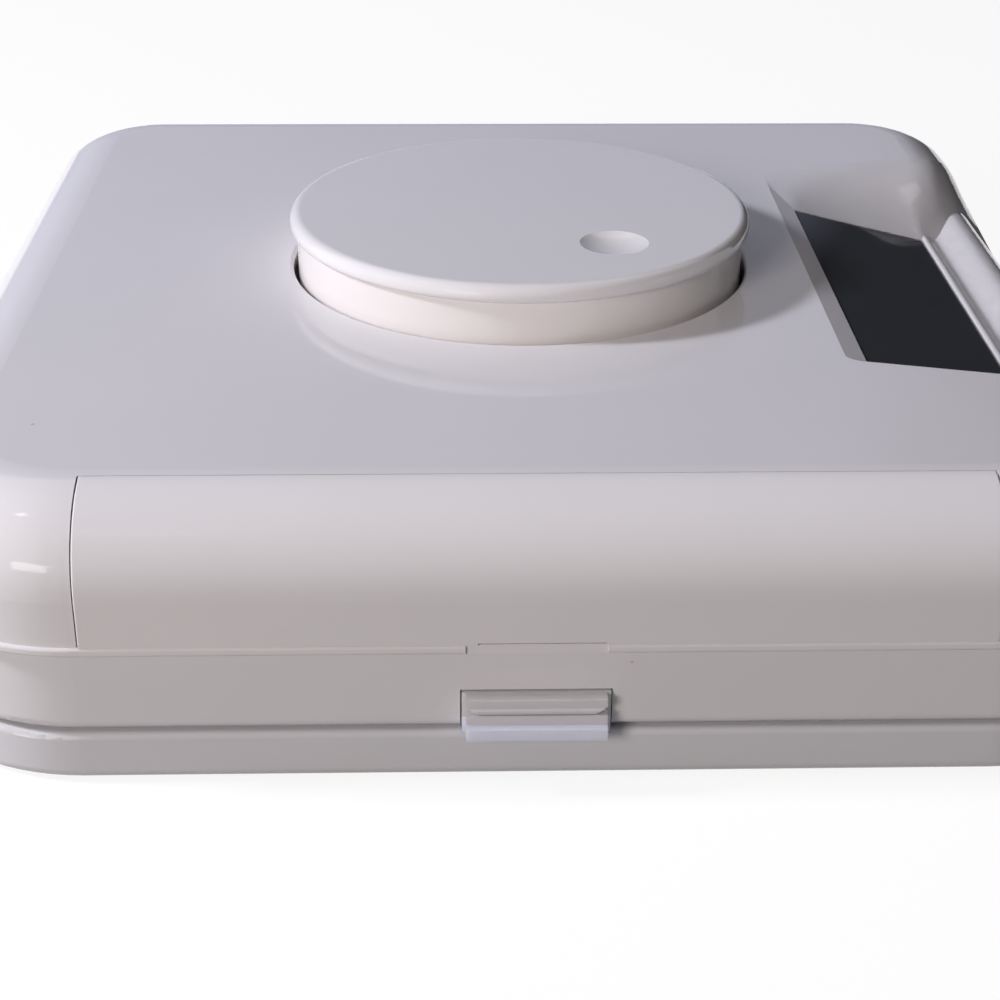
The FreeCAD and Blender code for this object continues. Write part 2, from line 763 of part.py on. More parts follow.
def lid_skirt():
    """The recessed middle band, open where the strikes rise through it."""
    band = rounded_block("skirt_band", "wall_half - band_setback", "parting_high", "bead_low",
                         None, "skirt_edge_round")
    spigot = rounded_block("skirt_spigot", "wall_half - shell_wall - 0.15", "bead_low - 2",
                           "skirt_flange_top")
    bore = rounded_block("skirt_bore_low", "skirt_inner_half", "parting_high - 1",
                         "cover_high + 0.1")
    flange_bore = rounded_block("skirt_bore_high", "skirt_flange_half", "parting_high - 2",
                                "skirt_flange_top + 1")
    tools = [bore, flange_bore]
    for side, sign in SIDES:
        middle = strike_middle(sign)
        tools.append(block(f"skirt_notch_{side}",
                           (f"{middle} - strike_half - 0.2", f"{middle} + strike_half + 0.2"),
                           across(sign, "wall_half - 5", "wall_half + 1"),
                           ("parting_high - 1", "strike_top + 0.2")))
    return label("lid_skirt", cut("skirt_cut", fuse("skirt_solid", band, spigot), *tools))


# ---------------------------------------------------------------- inner cover and bolts

def bolt_housings():
    """Additions and removals for the two housings that the bolts' legs hang down into."""
    additions, removals = [], []
    for side, sign in SIDES:
        additions.append(block(f"housing_{side}", ("-housing_half", "housing_half"),
                               across(sign, "housing_inner", "housing_outer"),
                               ("housing_low", "cover_low + 1")))
        removals.append(block(f"housing_room_{side}",
                              ("-housing_half + housing_wall", "housing_half - housing_wall"),
                              across(sign, "housing_inner + housing_wall",
                                     "housing_outer - housing_wall"),
                              ("housing_low + 1.1", "cover_high + 1")))
        removals.append(block(f"housing_window_{side}",
                              ("-bolt_half - 0.3", "bolt_half + 0.3"),
                              across(sign, "housing_outer - 3", "housing_outer + 1"),
                              ("bolt_low - 0.3", "bolt_high + 0.3")))
    return additions, removals


def battery_tub():
    """Additions and removals for the battery bay: a tub, open below, and its door's seat."""
    roof = "cell_height + cell_radius + 0.3"
    additions = [block("tub_outer",
                       ("bay_x - bay_half_x - bay_wall", "bay_x + bay_half_x + bay_wall"),
                       ("-bay_half_y - bay_wall", "bay_half_y + bay_wall"),
                       ("cover_high - 1", f"{roof} + bay_wall")),
                 block("tub_frame", ("bay_x - 18", "bay_x + 18"), ("-34", "40"),
                       ("cover_high - 1", "cover_high + 1.4")),
                 rod("door_boss", "3.0", "cover_high", "27", "bay_x", "door_screw_y")]
    removals = [block("tub_room", ("bay_x - bay_half_x", "bay_x + bay_half_x"),
                      ("-bay_half_y", "bay_half_y"), ("cover_low - 1", roof)),
                block("door_rebate", ("bay_x - door_half_x - 0.3", "bay_x + door_half_x + 0.3"),
                      ("door_front - 0.3", "door_rear + 0.3"), ("cover_low - 1", "cover_low + 1.7")),
                rod("door_pilot", "0.95", "cover_low - 1", "26", "bay_x", "door_screw_y")]
    return additions, removals


def mechanism_posts():
    """Additions and removals for the arbors, the motor bracket and the circuit board."""
    additions, removals = [], []
    for i, (x, y) in enumerate((lock_axis(), idler_axis())):
        additions.append(rod(f"arbor_boss_{i}", "3.2", "cover_high - 1", "cover_high + 0.7", x, y))
        removals.append(rod(f"arbor_hole_{i}", "arbor_radius", "cover_low + 0.6", "30", x, y))
    for i, (x, y) in enumerate(bracket_places()):
        additions.append(rod(f"bracket_post_{i}", "3.2", "cover_high - 1", "bracket_low", x, y))
        removals.append(rod(f"bracket_pilot_{i}", "0.9", "cover_high", "26", x, y))
    for i, (x, y) in enumerate(board_places()):
        additions.append(rod(f"board_post_{i}", "2.6", "cover_high - 1", "board_low", x, y))
        removals.append(rod(f"board_pilot_{i}", "0.9", "cover_low + 0.5", "26", x, y))
    return additions, removals


def bolt_rails():
    """Additions and removals for the grooved rails that the two rack bars slide on."""
    additions, removals = [], []
    for i, (sign, y) in enumerate(rail_places()):
        spans = [sorted((sign * near, sign * far)) for near, far in ((6.6, 13.8), (7.7, 12.7))]
        additions.append(block(f"rail_{i}", spans[0], (y - 4, y + 4), ("cover_high - 1", "29.2")))
        removals.append(block(f"rail_groove_{i}", spans[1], (y - 5, y + 5), ("25.5", "31")))
    return additions, removals


def inner_cover():
    """The plate that closes the lid from below and carries the mechanism."""
    additions = [rounded_block("cover_plate", "cover_half", "cover_low", "cover_high")]
    removals = []
    for group in (bolt_housings, battery_tub, mechanism_posts, bolt_rails):
        added, removed = group()
        additions += added
        removals += removed
    for i, (x, y) in enumerate(screw_places()):
        removals.append(rod(f"cover_hole_{i}", "1.6", "cover_low - 1", "cover_high + 1", x, y))
        removals.append(rod(f"cover_sink_{i}", "3.0", "cover_low - 1", "cover_low + 0.9", x, y))
    return label("inner_cover", cut("cover_cut", fuse("cover_solid", *additions), *removals))


def lock_axis():
    return 0.0, size("lock_y")


def idler_axis():
    """The idler's place, one centre distance from both the lock gear and the motor."""
    spacing = size("gear_module") * (size("wheel_teeth") + size("pinion_teeth")) / 2
    lock_x, lock_y = lock_axis()
    dx, dy = size("motor_x") - lock_x, size("motor_y") - lock_y
    reach = math.hypot(dx, dy)
    offset = math.sqrt(spacing ** 2 - (reach / 2) ** 2)
    return (lock_x + dx / 2 - offset * dy / reach, lock_y + dy / 2 + offset * dx / reach)


def bracket_places():
    return [(size("motor_x") + dx, size("motor_y") - 5.0) for dx in (-17.0, 17.0)]


def board_places():
    return [(x, y) for x in (50.0, 78.0) for y in (-42.0, 42.0)]


def rail_places():
    """Side and Y of each rail; the front bolt's bar runs on the left, the rear's right."""
    return [(-1, -58.0), (1, 14.0), (1, 58.0)]


def lid_screws():
    screws = []
    for x, y in screw_places():
        foot = Vector(x, y, size("cover_low") - 0.9)
        head = Part.makeCylinder(2.8, 1.7, foot)
        head = head.makeFillet(0.6, [edge for edge in head.Edges if level_at(foot.z)(edge)])
        drive = Part.makeBox(3.6, 0.7, 0.8, foot - Vector(1.8, 0.35, 0))
        cross = Part.makeBox(0.7, 3.6, 0.8, foot - Vector(0.35, 1.8, 0))
        shank = Part.makeCylinder(1.1, 15.0, foot)
        screws.append(head.fuse(shank).removeSplitter().cut(drive).cut(cross))
    return label("lid_screws", freeform("lid_screw_group", Part.makeCompound(screws)))


# ---------------------------------------------------------------- gears

def gear_outline(teeth, module, phase, thinning=0.05):
    """Corner points of a spur gear's outline, a tooth centred at the angle phase.

    The addendum is 0.75 module, short enough that small pinions need no undercut, and
    each flank is set back so that a pair in mesh has backlash.
    """
    pressure = math.radians(20)
    pitch = module * teeth / 2
    base = pitch * math.cos(pressure)
    tip, root = pitch + 0.75 * module, pitch - module
    half_at_pitch = math.pi / (2 * teeth) - thinning / pitch
    involute_at_pitch = math.tan(pressure) - pressure

    def half_angle(radius):
        if radius <= base:
            return half_at_pitch + involute_at_pitch
        angle = math.acos(base / radius)
        return half_at_pitch + involute_at_pitch - (math.tan(angle) - angle)

    start = max(base, root)
    radii = [start + (tip - start) * i / 3 for i in range(4)]
    if root < base:
        radii.insert(0, root)
    flank = [(radius, half_angle(radius)) for radius in radii]
    points = []
    for tooth in range(int(teeth)):
        middle = phase + 2 * math.pi * tooth / teeth
        profile = [(r, middle - a) for r, a in flank] + [(r, middle + a) for r, a in flank[::-1]]
        points += [Vector(r * math.cos(t), r * math.sin(t), 0) for r, t in profile]
    return points


def gear_disc(teeth, module, phase, axis, low, high):
    points = gear_outline(teeth, module, phase)
    wire = Part.makePolygon(points + points[:1])
    disc = Part.Face(wire).extrude(Vector(0, 0, high - low))
    disc.translate(Vector(axis[0], axis[1], low))
    return disc


def direction(start, end):
    return math.atan2(end[1] - start[1], end[0] - start[0])


LAYERS = {"input": (21.0, 23.0), "middle": (23.3, 25.5), "rack": (25.8, 29.4)}


def motor_pinion():
    motor, idler = (size("motor_x"), size("motor_y")), idler_axis()
    teeth, module = size("pinion_teeth"), size("gear_module")
    gear = gear_disc(teeth, module, direction(motor, idler), motor, *LAYERS["input"])
    bore = Part.makeCylinder(1.0, 6, Vector(motor[0], motor[1], 20))
    return label("motor_pinion", freeform("pinion_shape", gear.cut(bore)))


def idler_gear():
    motor, idler, lock = (size("motor_x"), size("motor_y")), idler_axis(), lock_axis()
    wheel_teeth, pinion_teeth = size("wheel_teeth"), size("pinion_teeth")
    module = size("gear_module")
    wheel_phase = direction(idler, motor) + math.pi / wheel_teeth
    wheel = gear_disc(wheel_teeth, module, wheel_phase, idler, *LAYERS["input"])
    low, high = LAYERS["middle"]
    pinion = gear_disc(pinion_teeth, module, direction(idler, lock), idler, low, high)
    hub = Part.makeCylinder(3.6, low - LAYERS["input"][1] + 0.4,
                            Vector(idler[0], idler[1], LAYERS["input"][1] - 0.2))
    bore = Part.makeCylinder(size("arbor_radius") + size("arbor_fit"), 12,
                             Vector(idler[0], idler[1], 19))
    shape = lightened(wheel, idler, 7.0, 13.2, *LAYERS["input"])
    return label("idler_gear", freeform("idler_shape", shape.fuse([hub, pinion]).cut(bore)))


def lightened(wheel, axis, inner, outer, low, high):
    """The wheel with five round lightening holes between two radii."""
    middle, radius = (inner + outer) / 2, (outer - inner) / 2 - 0.4
    for step in range(5):
        angle = 2 * math.pi * step / 5
        place = Vector(axis[0] + middle * math.cos(angle), axis[1] + middle * math.sin(angle), low - 1)
        wheel = wheel.cut(Part.makeCylinder(radius, high - low + 2, place))
    return wheel


def lock_gear():
    idler, lock = idler_axis(), lock_axis()
    wheel_teeth, module = size("wheel_teeth"), size("gear_module")
    low, high = LAYERS["middle"]
    wheel = gear_disc(wheel_teeth, module, direction(lock, idler) + math.pi / wheel_teeth,
                      lock, low, high)
    wheel = lightened(wheel, lock, 7.6, 13.6, low, high)
    rack_low, rack_high = LAYERS["rack"]
    pinion = gear_disc(size("rack_pinion_teeth"), size("rack_module"), 0.0, lock,
                       rack_low, rack_high)
    hub = Part.makeCylinder(3.2, rack_low - 21.0 + 0.4, Vector(lock[0], lock[1], 21.0))
    collar = Part.makeCylinder(5.4, rack_low - high + 0.4, Vector(lock[0], lock[1], high - 0.2))
    bore = Part.makeCylinder(size("arbor_radius") + size("arbor_fit"), 14,
                             Vector(lock[0], lock[1], 19))
    return label("lock_gear", freeform("lock_gear_shape",
                                       wheel.fuse([hub, collar, pinion]).cut(bore)))


def rack_teeth(side, middle_y, low, high, reach):
    """A toothed strip beside the lock gear, a tooth space centred at middle_y."""
    module = size("rack_module")
    pitch_x = module * size("rack_pinion_teeth") / 2
    spacing = math.pi * module
    tip, root, back = pitch_x - 0.75 * module, pitch_x + module, pitch_x + 5.4
    slope = math.tan(math.radians(20))
    half = spacing / 4 - 0.05
    count = int(reach // spacing)
    edge = (count + 0.5) * spacing
    points = [Vector(back, -edge, 0), Vector(root, -edge, 0)]
    for tooth in range(-count, count):
        centre = (tooth + 0.5) * spacing
        points += [Vector(root, centre - half - slope * module, 0),
                   Vector(tip, centre - half + slope * 0.75 * module, 0),
                   Vector(tip, centre + half - slope * 0.75 * module, 0),
                   Vector(root, centre + half + slope * module, 0)]
    points += [Vector(root, edge, 0), Vector(back, edge, 0)]
    strip = Part.Face(Part.makePolygon(points + points[:1])).extrude(Vector(0, 0, high - low))
    if side < 0:
        strip.rotate(Vector(0, 0, 0), Vector(0, 0, 1), 180)
    strip.translate(Vector(0, middle_y, low))
    return strip


def bolt(side):
    """A bolt: rack bar above the cover, a leg down into the housing, and a nose.

    side is -1 for the front bolt, whose bar runs left of the lock gear, and 1 for the rear.
    """
    low, high = LAYERS["rack"]
    lock_y = size("lock_y")
    bar_inner, bar_outer = 8.0, 12.4
    leg_outer, leg_inner = size("bolt_leg_outer"), size("bolt_leg_inner")
    half = size("bolt_half")

    def piece(x_span, y_span, z_span):
        (x0, x1), (y0, y1), (z0, z1) = (sorted(span) for span in (x_span, y_span, z_span))
        return Part.makeBox(x1 - x0, y1 - y0, z1 - z0, Vector(x0, y0, z0))

    bar = piece((side * bar_inner, side * bar_outer), (lock_y + side * 9.0, side * leg_outer),
                (low, high))
    cross = piece((side * bar_outer, -side * half), (side * leg_inner, side * leg_outer),
                  (low, high))
    leg = piece((-half, half), (side * leg_inner, side * leg_outer),
                (size("bolt_low"), low + 0.5))
    nose = piece((-half, half), (side * leg_inner, side * size("bolt_tip")),
                 (size("bolt_low"), size("bolt_high")))
    lead = [edge for edge in nose.Edges if upright(edge)
            and abs(abs(edge.BoundBox.YMax) - size("bolt_tip")) < 1e-6]
    nose = nose.makeChamfer(0.8, lead)
    teeth = rack_teeth(side, lock_y, low, high, 9.5)
    return bar.fuse([cross, leg, nose, teeth]).removeSplitter()


def front_bolt():
    return label("front_bolt", freeform("front_bolt_shape", bolt(-1)))


def rear_bolt():
    return label("rear_bolt", freeform("rear_bolt_shape", bolt(1)))


def gear_arbors():
    """Two steel pins pressed into the inner cover; the gears turn on them."""
    pins = []
    for (x, y), top in ((lock_axis(), 30.2), (idler_axis(), 26.6)):
        pins.append(rod(f"arbor_{len(pins)}", "arbor_radius", "cover_low + 0.6", top, x, y))
    return label("gear_arbors", gather("arbor_group", *pins))


def arbor_clips():
    """Spring washers that keep the gears on their arbors."""
    clips = []
    for (x, y), low in ((lock_axis(), 29.5), (idler_axis(), 25.7)):
        ring = Part.makeCylinder(2.6, 0.5, Vector(x, y, low))
        ring = ring.cut(Part.makeCylinder(size("arbor_radius"), 2, Vector(x, y, low - 1)))
        ring = ring.cut(Part.makeBox(4, 1.0, 2, Vector(x, y - 0.5, low - 1)))
        clips.append(ring)
    return label("arbor_clips", freeform("arbor_clip_group", Part.makeCompound(clips)))


def lock_motor():
    """A flat can motor standing on its bracket, shaft downwards."""
    x, y = size("motor_x"), size("motor_y")
    can = Part.makeCylinder(12.2, 12.3, Vector(x, y, 25.75))
    can = can.makeFillet(1.0, [edge for edge in can.Edges if len(edge.Vertexes) == 1])
    nose = Part.makeCylinder(3.0, 1.0, Vector(x, y, 24.9))
    terminal = Part.makeBox(3.0, 4.4, 0.5, Vector(x + 12.0, y - 2.2, 34.0))
    bore = Part.makeCylinder(1.06, 8.0, Vector(x, y, 24.0))
    shape = can.fuse([nose, terminal]).removeSplitter().cut(bore)
    return label("lock_motor", freeform("motor_shape", shape))


def motor_shaft():
    return label("motor_shaft", rod("motor_shaft_rod", "1.0", "20.9", "31.5",
                                    "motor_x", "motor_y"))


def motor_bracket():
    """A pressed plate under the motor, on two posts of the inner cover."""
    bar = block("bracket_bar", ("motor_x - 20.5", "motor_x + 20.5"),
                ("motor_y - 8.5", "motor_y - 1.5"), ("bracket_low", "bracket_high"))
    disc = rod("bracket_disc", "13.0", "bracket_low", "bracket_high", "motor_x", "motor_y")
    tools = [rod("bracket_eye", "3.1", "24", "26", "motor_x", "motor_y")]
    for i, (x, y) in enumerate(bracket_places()):
        tools.append(rod(f"bracket_hole_{i}", "1.3", "24", "26", x, y))
    return label("motor_bracket", cut("bracket_cut", fuse("bracket_solid", bar, disc), *tools))


def pan_screws(places, seat, length, head_radius, shank_radius, upward=False):
    """Pan-head screws driven down from a seat height, or up to it."""
    screws = []
    sign = -1 if upward else 1
    for x, y in places:
        head = Part.makeCylinder(head_radius, 1.3, Vector(x, y, seat), Vector(0, 0, sign))
        end = seat + sign * 1.3
        head = head.makeFillet(0.4, [edge for edge in head.Edges if level_at(end)(edge)])
        shank = Part.makeCylinder(shank_radius, length, Vector(x, y, seat), Vector(0, 0, -sign))
        slot_z = end - sign * 0.6
        slot = Part.makeBox(2 * head_radius + 1, 0.6, 0.7,
                            Vector(x - head_radius - 0.5, y - 0.3, min(slot_z, slot_z + sign * 0.7)))
        screws.append(head.fuse(shank).removeSplitter().cut(slot))
    return Part.makeCompound(screws)


def bracket_screws():
    screws = pan_screws(bracket_places(), size("bracket_high"), 5.0, 2.2, 0.9)
    return label("bracket_screws", freeform("bracket_screw_group", screws))


def board_screws():
    screws = pan_screws(board_places(), size("board_high"), 4.5, 2.2, 0.9)
    return label("board_screws", freeform("board_screw_group", screws))


def well_screws():
    screws = pan_screws(well_places(), size("well_floor_low"), 6.0, 2.2, 0.9, True)
    return label("well_screws", freeform("well_screw_group", screws))


# ---------------------------------------------------------------- knob

def knob_cap():
    """The dished cap: a flat top with a rounded lip and one finger dimple."""
    body = new_body("cap_body")
    sketch = new_sketch(body, "cap_profile", "XZ_Plane")
    outline(sketch, [("0", "knob_top - 2"), ("33.0", "knob_top - 2"), ("33.0", "44.2"),
                     ("34.4", "44.2"), ("34.4", "lip_low"), ("lip_radius", "lip_low"),
                     ("lip_radius", "knob_top"), ("0", "knob_top")])
    turn = revolve(body, sketch, "cap_turn")

    def top_edge(edge):
        return level_at(size("knob_top"))(edge) and edge.BoundBox.XLength > 1

    def under_edge(edge):
        return (level_at(size("lip_low"))(edge)
                and edge.BoundBox.XLength > 2 * size("lip_radius") - 0.1)
    tip = soften(body, turn, top_edge, "1.7", "cap_top_round")
    soften(body, tip, under_edge, "0.9", "cap_under_round")
    bind(body, Placement__Base__y="knob_y")
    ball = doc.addObject("Part::Sphere", "dimple_ball")
    ball_radius = "(dimple_radius * dimple_radius + dimple_depth * dimple_depth) / (2 * dimple_depth)"
    bind(ball, Radius=ball_radius, Placement__Base__x="dimple_x",
         Placement__Base__y="dimple_y + knob_y",
         Placement__Base__z=f"knob_top - dimple_depth + {ball_radius}")
    return label("knob_cap", cut("cap_cut", body, ball))


def knob_skirt():
    """The knob's grip wall, with a web and a hub that turns on the carrier's post."""
    body = new_body("knob_skirt")
    sketch = new_sketch(body, "skirt_profile", "XZ_Plane")
    outline(sketch, [("post_radius + post_fit", "37.7"), ("6.0", "37.7"), ("6.0", "web_low"),
                     ("skirt_bore", "web_low"), ("skirt_bore", "knob_low"),
                     ("skirt_radius", "knob_low"), ("skirt_radius", "lip_low"),
                     ("skirt_bore", "lip_low"), ("skirt_bore", "web_high"),
                     ("post_radius + post_fit", "web_high")])
    revolve(body, sketch, "skirt_turn")
    return bind(body, Placement__Base__y="knob_y")


def code_drum():
    """A slotted drum under the knob that the light gate counts."""
    body = new_body("code_drum")
    ring = new_sketch(body, "drum_outline", height="knob_low")
    circle(circle(ring, "29.4"), "28.5")
    pad(body, ring, "web_low - knob_low", "drum_wall")
    doc.recompute()
    gap = new_sketch(body, "drum_gap", "YZ_Plane", "27")
    rectangle(gap, ("-1.8", "1.8"), ("knob_low - 1", "knob_low + 4"))
    slot = pocket(body, gap, "4", "drum_slot")
    pattern = body.newObject("PartDesign::PolarPattern", "drum_slots")
    pattern.Originals = [slot]
    pattern.Axis = (ring, ["N_Axis"])
    pattern.Angle = 360
    pattern.Occurrences = 24
    body.Tip = pattern
    return bind(body, Placement__Base__y="knob_y")


def knob_carrier():
    """The part that only moves up and down: post, flange, guided stem and two pegs."""
    body = new_body("carrier_body")
    sketch = new_sketch(body, "carrier_profile", "XZ_Plane")
    outline(sketch, [("0", "29.4"), ("2.9", "29.4"), ("2.9", "29.9"), ("2.0", "29.9"),
                     ("2.0", "30.6"), ("stem_radius", "30.6"), ("stem_radius", "flange_low"),
                     ("flange_radius", "flange_low"), ("flange_radius", "flange_high"),
                     ("post_radius", "flange_high"), ("post_radius", "44.2"), ("2.3", "44.2"),
                     ("2.3", "44.9"), ("post_radius", "44.9"), ("post_radius", "45.6"),
                     ("0", "45.6")])
    revolve(body, sketch, "carrier_turn")
    bind(body, Placement__Base__y="knob_y")
    pegs = [rod(f"carrier_peg_{sign + 1}", "1.4", "32.8", "flange_low + 0.5",
                f"{sign} * 12", "knob_y") for sign in (-1, 1)]
    return label("knob_carrier", fuse("carrier_fused", body, *pegs))


def open_ring(inner, outer, low, high, gap):
    """A flat spring clip around the knob's axis."""
    centre = Vector(0, size("knob_y"), low)
    ring = Part.makeCylinder(outer, high - low, centre)
    ring = ring.cut(Part.makeCylinder(inner, high - low, centre))
    return ring.cut(Part.makeBox(outer + 1, gap, high - low, centre - Vector(0, gap / 2, 0)))


def knob_clip():
    return label("knob_clip", freeform("knob_clip_shape", open_ring(2.35, 5.0, 44.25, 44.85, 3.4)))


def stem_clip():
    return label("stem_clip", freeform("stem_clip_shape", open_ring(2.05, 5.4, 29.95, 30.55, 3.0)))


def knob_well():
    """The cup below the knob hole that guides the carrier and keeps dust out."""
    floor = rod("well_floor", "well_radius", "well_floor_low", "well_floor_high", "0", "knob_y")
    wall = cut("well_wall", rod("well_outside", "well_radius", "well_floor_low",
                                "lid_top - shell_wall - 0.1", "0", "knob_y"),
               rod("well_inside", "well_bore", "well_floor_low - 1", "lid_top", "0", "knob_y"))
    additions = [floor, wall, rod("well_sleeve", "6.5", "well_floor_low", "34.5", "0", "knob_y")]
    removals = [rod("well_stem_bore", "stem_radius + 0.08", "30", "40", "0", "knob_y")]
    for sign in (-1, 1):
        additions.append(rod(f"peg_socket_{sign + 1}", "2.8", "well_floor_low", "34.4",
                             f"{sign} * 12", "knob_y"))
        removals.append(rod(f"peg_bore_{sign + 1}", "1.5", "30", "40", f"{sign} * 12", "knob_y"))
    for i, (x, y) in enumerate(well_places()):
        additions.append(rod(f"well_ear_{i}", "4.6", "well_floor_low", "33.0", x, y))
        removals.append(rod(f"well_ear_hole_{i}", "1.2", "30", "34", x, y))
    return label("knob_well", cut("well_cut", fuse("well_solid", *additions), *removals))


def return_spring():
    """A short coil between the well's floor and the carrier's flange."""
    wire, radius, turns, flats = 0.35, 8.6, 3, 8
    low, high = size("well_floor_high") + wire + 0.05, size("flange_low") - wire - 0.05
    helix = Part.makeHelix((high - low) / turns, high - low, radius)
    angles = [2 * math.pi * (i + 0.5) / flats for i in range(flats)]
    corners = [Vector(radius + wire * math.cos(a), 0, wire * math.sin(a)) for a in angles]
    section = Part.makePolygon(corners + corners[:1])
    coil = Part.Wire(helix.Edges).makePipeShell([section], True, True)
    coil.translate(Vector(0, size("knob_y"), low))
    return label("return_spring", freeform("return_spring_shape", coil))


def encoder_board():
    """A ring-shaped board on the well's floor."""
    ring = cut("encoder_ring", rod("encoder_disc", "33.0", "well_floor_high",
                                   "well_floor_high + 1.0", "0", "knob_y"),
               rod("encoder_eye", "15.6", "32", "34", "0", "knob_y"))
    return label("encoder_board", ring)


def light_gate():
    """A forked sensor that the code drum's wall passes through."""
    foot = block("gate_foot", ("25.8", "32.2"), ("knob_y - 2.2", "knob_y + 2.2"),
                 ("well_floor_high + 1.0", "well_floor_high + 1.9"))
    inner = block("gate_inner", ("25.8", "27.8"), ("knob_y - 2.2", "knob_y + 2.2"),
                  ("well_floor_high + 1.5", "38.8"))
    outer = block("gate_outer", ("30.2", "32.2"), ("knob_y - 2.2", "knob_y + 2.2"),
                  ("well_floor_high + 1.5", "38.8"))
    return label("light_gate", fuse("gate_fused", foot, inner, outer))


def press_switch():
    """A flat push switch under the carrier's flange."""
    can = block("switch_can", ("-2.6", "2.6"), ("knob_y - 22.0", "knob_y - 16.8"),
                ("well_floor_high + 1.0", "well_floor_high + 1.9"))
    button = rod("switch_button", "1.4", "well_floor_high + 1.5", "well_floor_high + 2.3",
                 "0", "knob_y - 19.4")
    return label("press_switch", fuse("switch_fused", can, button))


# ---------------------------------------------------------------- display and electronics

def display_window():
    """The dark window over the display, let into the scoop's sloping face."""
    below = size("glass_below")
    return label("display_window",
                 window_slab("window_plate", 0.0, below, below + size("glass_thickness")))


def display_module():
    """The liquid-crystal panel on its carrier, just under the window."""
    top = size("glass_below") + size("glass_thickness") + 0.2
    shrink = -size("glass_ledge") - 0.5
    return label("display_module", window_slab("module_plate", shrink, top, top + 4.2))


def circuit_board():
    plate = block("board_plate", ("46", "82"), ("-46", "46"), ("board_low", "board_high"))
    holes = [rod(f"board_hole_{i}", "1.1", "22", "25", x, y)
             for i, (x, y) in enumerate(board_places())]
    return label("circuit_board", cut("board_cut", plate, *holes))


def board_chips():
    """The controller, the motor driver and a few larger parts on the board."""
    chips = [block("chip_controller", ("55", "65"), ("-8", "2"), ("board_high", "board_high + 1.4")),
             block("chip_driver", ("54", "60"), ("-26", "-18"), ("board_high", "board_high + 1.6")),
             block("chip_crystal", ("68", "72"), ("-6", "4"), ("board_high", "board_high + 2.4")),
             rod("chip_capacitor_a", "2.5", "board_high", "board_high + 4", "58", "-34"),
             rod("chip_capacitor_b", "2.5", "board_high", "board_high + 4", "66", "-34")]
    return label("board_chips", gather("chip_group", *chips))


def sounder():
    """The small round sounder that beeps as the timer is set."""
    can = rod("sounder_can", "6.0", "board_high", "board_high + 5", "62", "34")
    vent = rod("sounder_vent", "0.8", "board_high + 3", "board_high + 6", "62", "34")
    return label("sounder", cut("sounder_cut", can, vent))


def battery_cells():
    """Two cells side by side, pointing opposite ways."""
    cells = []
    for sign in (-1, 1):
        x = size("bay_x") + sign * size("cell_pitch") / 2
        start = Vector(x, -sign * size("cell_length") / 2 + 0.6, size("cell_height"))
        along = Vector(0, sign, 0)
        can = Part.makeCylinder(size("cell_radius"), size("cell_length") - 1.5, start, along)
        can = can.makeFillet(0.7, [edge for edge in can.Edges if len(edge.Vertexes) == 1])
        nub = Part.makeCylinder(2.7, size("cell_length"), start, along)
        cells.append(can.fuse(nub).removeSplitter())
    return label("battery_cells", freeform("cell_group", Part.makeCompound(cells)))


def battery_contacts():
    """Sprung strip contacts at both ends of the bay."""
    strips = []
    for side in (-1, 1):
        for sign in (-1, 1):
            x = size("bay_x") + sign * size("cell_pitch") / 2
            end = side * size("bay_half_y")
            near, far = sorted((end - side * 0.5, end))
            strips.append(Part.makeBox(9, far - near, 11, Vector(x - 4.5, near, 22.0)))
    return label("battery_contacts", freeform("contact_group", Part.makeCompound(strips)))


def battery_door():
    """The flat door of the battery bay, with a finger grip and one screw."""
    plate = block("door_plate", ("bay_x - door_half_x", "bay_x + door_half_x"),
                  ("door_front", "door_rear"), ("cover_low + 0.05", "cover_low + 1.6"))
    grips = [block(f"door_grip_{i}", ("bay_x - 6", "bay_x + 6"), (y, y + 0.9),
                   ("cover_low - 1", "cover_low + 0.6")) for i, y in enumerate((-22, -20, -18))]
    hole = rod("door_hole", "1.15", "cover_low - 1", "cover_low + 3", "bay_x", "door_screw_y")
    sink = rod("door_sink", "2.5", "cover_low - 1", "cover_low + 0.9", "bay_x", "door_screw_y")
    return label("battery_door", cut("door_cut", plate, hole, sink, *grips))


def door_screw():
    place = [(size("bay_x"), size("door_screw_y"))]
    screw = pan_screws(place, size("cover_low") + 0.9, 6.0, 2.2, 0.9, True)
    return label("door_screw", freeform("door_screw_shape", screw))


# ---------------------------------------------------------------- build, check and write

SUB_PARTS = [base_tray, rubber_feet, front_strike, rear_strike, strike_screws, lid_top_shell,
             front_fascia, lid_skirt, inner_cover, lid_screws, front_bolt, rear_bolt, lock_gear,
             idler_gear, motor_pinion, motor_shaft, lock_motor, motor_bracket, bracket_screws,
             gear_arbors, arbor_clips, knob_cap, knob_skirt, code_drum, knob_clip, knob_carrier,
             stem_clip, return_spring, knob_well, well_screws, encoder_board, light_gate,
             press_switch, display_window, display_module, circuit_board, board_chips, sounder,
             board_screws, battery_cells, battery_contacts, battery_door, door_screw]


def failed_objects():
    """Names of the objects that FreeCAD marks as failed."""
    return [item.Name for item in doc.Objects
            if "Invalid" in item.State or "Error" in item.State]


def main():
    fill_sheet()
    parts = {}
    for make in SUB_PARTS:
        thing = make()
        doc.recompute()
        parts[thing.Label] = thing
        shape = thing.Shape
        if failed_objects() or shape.isNull() or not shape.isValid() or not shape.Solids:
            raise RuntimeError(f"{thing.Label} failed: {failed_objects()}")
        print(thing.Label, len(shape.Solids), round(shape.Volume, 1))
    os.makedirs("parts", exist_ok=True)
    for node, thing in parts.items():
        thing.Shape.exportStep(f"parts/{node}.step")


main()
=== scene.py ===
import json
import math

import bpy
from mathutils import Matrix, Vector


